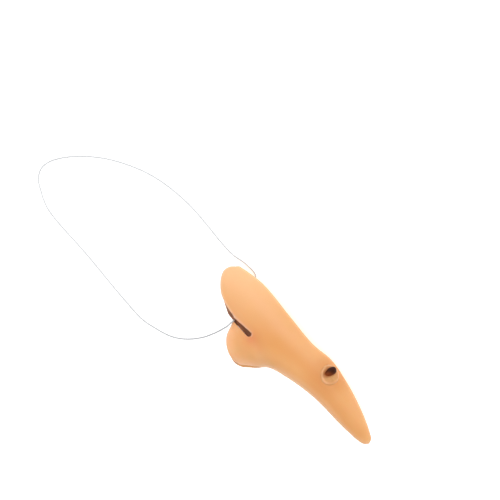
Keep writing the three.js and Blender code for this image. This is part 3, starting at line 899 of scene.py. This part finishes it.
def wart_tip(place):
    """An oblong bean of dark paint, lumpy like a dried drop, seated in the pad."""
    middle, forward, upward, out = (np.array(v) for v in place)
    long_way = math.cos(TIP_TURN) * forward + math.sin(TIP_TURN) * upward
    cross_way = -math.sin(TIP_TURN) * forward + math.cos(TIP_TURN) * upward
    seat = middle + TIP_FORWARD * forward + TIP_UP * upward + TIP_SEAT * out
    rows, around = 64, 80
    polar = np.linspace(0, math.pi, rows + 2)[1:-1][:, None]
    turn = np.linspace(0, 2 * math.pi, around, endpoint=False)[None, :]
    u = np.cos(polar) + 0 * turn
    girth = np.sin(polar) ** 0.8
    v = girth * np.cos(turn)
    w = girth * np.sin(turn)
    lump = 1 + 0.05 * np.sin(2.3 * u + 1) * np.cos(2 * turn) + 0.04 * np.sin(5 * u + 2.1 * v)
    fatter = 1 + 0.14 * u
    a = TIP_LENGTH / 2 * u
    b = TIP_WIDTH / 2 * (v * lump * fatter + 0.12 * (u ** 2 - 0.5))
    c = TIP_HEIGHT * w * lump * (1 + 0.06 * u)
    grid = seat + a[..., None] * long_way + b[..., None] * cross_way + c[..., None] * out
    ends = [grid[-1].mean(0) - 0.02 * MM * long_way, grid[0].mean(0) + 0.02 * MM * long_way]
    points = np.vstack((grid.reshape(-1, 3), ends))
    made = new_object("wart_dark_tip", points, closed_faces(rows, around))
    thin = 0.75 * (1 - u) / 2 + 0.45 * (1 - v) / 2
    mark(made.data, "thin", np.concatenate((thin.ravel(), (1, 0))))
    mark(made.data, "foot", np.concatenate(((1 - soft_step(w, 0.05, 0.4)).ravel() * 0.8, (0.8, 0.5))))
    return made


# The elastic

ELASTIC_SIDES = 24
ELASTIC_SPACING = 0.14 * MM
STRANDS = 6
STRAND_TURN = 2.4 * MM
# Painted shade on the elastic's ends, where they lie in the slits.
SLIT_SHADE_ENDS = (3 * MM, 6 * MM)
GREYING_RUN = (4 * MM, 160 * MM)


def slit_ends(skin_tree, side, turn, shift):
    """Where one slit's knot sits, and how the elastic goes from it out through the slit."""
    mouth, end = slit_line(side)
    inwards = (end - mouth) / np.linalg.norm(end - mouth)

    def at(from_mouth, height):
        x, z = mouth + inwards * from_mouth
        forward, upward = skin_directions(skin_tree, x, z, side)
        out = upward.cross(forward).normalized()
        return np.array(on_side(skin_tree, x, z, side)) + (0, side * height / abs(out.y), 0)

    centre = at(KNOT_FROM_MOUTH, -WALL - FIT_GAP - KNOT / 2)
    start = centre + (0, side * (KNOT / 2 + FIT_GAP), 0)
    threads = [start, at(0.9 * KNOT_FROM_MOUTH, 0.2 * ELASTIC)]
    return centre @ turn.T + shift, [p @ turn.T + shift for p in threads]


def tube(name, path, diameter, sides, knotted=False):
    """A round braided tube along a path. Its strands cross in two sets, one over the other."""
    ahead = np.gradient(path, axis=0)
    ahead /= np.linalg.norm(ahead, axis=1, keepdims=True)
    across = np.empty_like(ahead)
    first = np.cross(ahead[0], (0, 0, 1.0))
    across[0] = first / np.linalg.norm(first)
    for i in range(1, len(path)):
        kept = across[i - 1] - ahead[i] * (across[i - 1] @ ahead[i])
        across[i] = kept / np.linalg.norm(kept)
    beside = np.cross(ahead, across)
    angles = np.linspace(0, 2 * math.pi, sides, endpoint=False)[None, :]
    run = np.concatenate(((0,), np.cumsum(np.linalg.norm(np.diff(path, axis=0), axis=1))))[:, None]
    turned = 2 * math.pi * run / STRAND_TURN
    left = 0.5 + 0.5 * np.cos(STRANDS * angles + turned)
    right = 0.5 + 0.5 * np.cos(STRANDS * angles - turned)
    strand = np.maximum(left, right)
    radius = diameter / 2 * (0.9 + 0.1 * strand)
    ends = np.minimum(run, run[-1] - run)
    radius = radius * np.sqrt(np.clip(1 - (1 - np.clip(ends / (0.4 * diameter), 0, 1)) ** 2, 0.02, 1))
    grid = path[:, None] + radius[..., None] * (
        np.cos(angles)[..., None] * across[:, None] + np.sin(angles)[..., None] * beside[:, None])
    rows = len(path)
    points = np.vstack((grid.reshape(-1, 3), path[-1:], path[:1]))
    made = new_object(name, points, [tuple(reversed(f)) for f in closed_faces(rows, sides)])
    # The strands' crowns, lightest in the finish; between them it is greyer as painted shade.
    mark(made.data, "strand", np.concatenate((strand.ravel(), (0.5, 0.5))))
    # Painted shade where the elastic lies in the slits, and all over the knots.
    in_slit = np.ones_like(ends) if knotted else 1 - soft_step(ends, *SLIT_SHADE_ENDS)
    mark(made.data, "shaded_in_slit", np.concatenate((np.repeat(in_slit, sides), (1, 1))))
    # Greyer along the first stretch of the path.
    greying = 1 - soft_step(run, *GREYING_RUN)
    mark(made.data, "greying", np.concatenate((np.repeat(greying, sides), (0, 1))))
    return made


def knot(name, centre, to_elastic):
    """An overhand knot pulled small, with its end cut short. It starts where the elastic leaves it."""
    up = to_elastic - centre
    reach = np.linalg.norm(up)
    up = up / reach
    side = np.cross(up, (0.3, 1, 0.2))
    side /= np.linalg.norm(side)
    face = np.cross(side, up)
    scale = 0.3 * MM
    turn = np.linspace(math.pi + 0.5, 3 * math.pi - 0.5, 44)
    x = np.sin(turn) + 2 * np.sin(2 * turn)
    y = -(np.cos(turn) - 2 * np.cos(2 * turn))
    z = -1.35 * np.sin(3 * turn)
    loops = centre + scale * (x[:, None] * side + y[:, None] * up + z[:, None] * face)
    tail = [centre + 1.9 * MM * side + 1.0 * MM * up, centre + 1.3 * MM * side + 0.95 * MM * up]
    lead = [centre + 0.8 * reach * up - 0.1 * MM * side, to_elastic]
    path, _ = even_path(np.vstack((tail, loops, lead)), ELASTIC_SPACING)
    return tube(name, path, 0.9 * ELASTIC, ELASTIC_SIDES, knotted=True)


# Ground and light

def ground():
    half = 6
    corners = [(-half, -half, 0), (half, -half, 0), (half, half, 0), (-half, half, 0)]
    floor = new_object("ground", corners, [(0, 1, 2, 3)])
    floor.data.materials.append(white_ground())


def soft_box(name, place, size, power):
    """A square light that faces the nose."""
    light = bpy.data.lights.new(name, "AREA")
    light.size = size
    light.energy = power
    made = bpy.data.objects.new(name, light)
    made.location = place
    made.rotation_mode = "QUATERNION"
    made.rotation_quaternion = (-Vector(place)).to_track_quat("-Z", "Y")
    bpy.context.scene.collection.objects.link(made)


def studio():
    world = bpy.data.worlds.new("studio")
    world.use_nodes = True
    background = world.node_tree.nodes["Background"]
    background.inputs["Color"].default_value = (1, 1, 1, 1)
    background.inputs["Strength"].default_value = 0.45
    bpy.context.scene.world = world
    soft_box("key", (-0.45, 1.05, 0.95), 1.0, 8)
    soft_box("top", (-0.3, -0.2, 1.5), 1.6, 7.5)
    soft_box("fill", (0.9, 0.15, 1.3), 1.2, 7)
    bpy.context.scene.view_settings.view_transform = "Standard"


# Putting it together

def build():
    add_camera()
    skin, inside = outer_skin(), hollow()
    skin_tree, inside_tree = surface_tree(skin), surface_tree(inside)
    shell = nose_shell(skin, inside, skin_tree, inside_tree)
    turn, shift = laying_down(corners_of(shell.data))
    place = wart_frame(skin_tree)
    pad, tip = wart(skin_tree, place), wart_tip(place)
    for made in (shell, pad, tip):
        set_corners(made.data, corners_of(made.data) @ turn.T + shift)

    elastic_finish = white_elastic()
    right_knot, right_ends = slit_ends(skin_tree, -1, turn, shift)
    left_knot, left_ends = slit_ends(skin_tree, 1, turn, shift)
    path, length = even_path([*right_ends, *ELASTIC_ROUTE, *left_ends[::-1]], ELASTIC_SPACING)
    cord = tube("elastic_loop", path, ELASTIC, ELASTIC_SIDES)
    knots = [knot("knot_right", right_knot, right_ends[0]), knot("knot_left", left_knot, left_ends[0])]
    finish_piece(cord, elastic_finish, "white_elastic", "elastic_cord")
    for made, node in zip(knots, ("elastic_knot_right", "elastic_knot_left")):
        finish_piece(made, elastic_finish, "white_elastic", node)
    finish_piece(shell, flesh_vinyl(), "flesh_vinyl", "nose_shell")
    finish_piece(pad, wart_vinyl(), "wart_vinyl", "wart")
    finish_piece(tip, dark_gloss(), "dark_gloss", "wart_tip")
    ground()
    studio()


build()
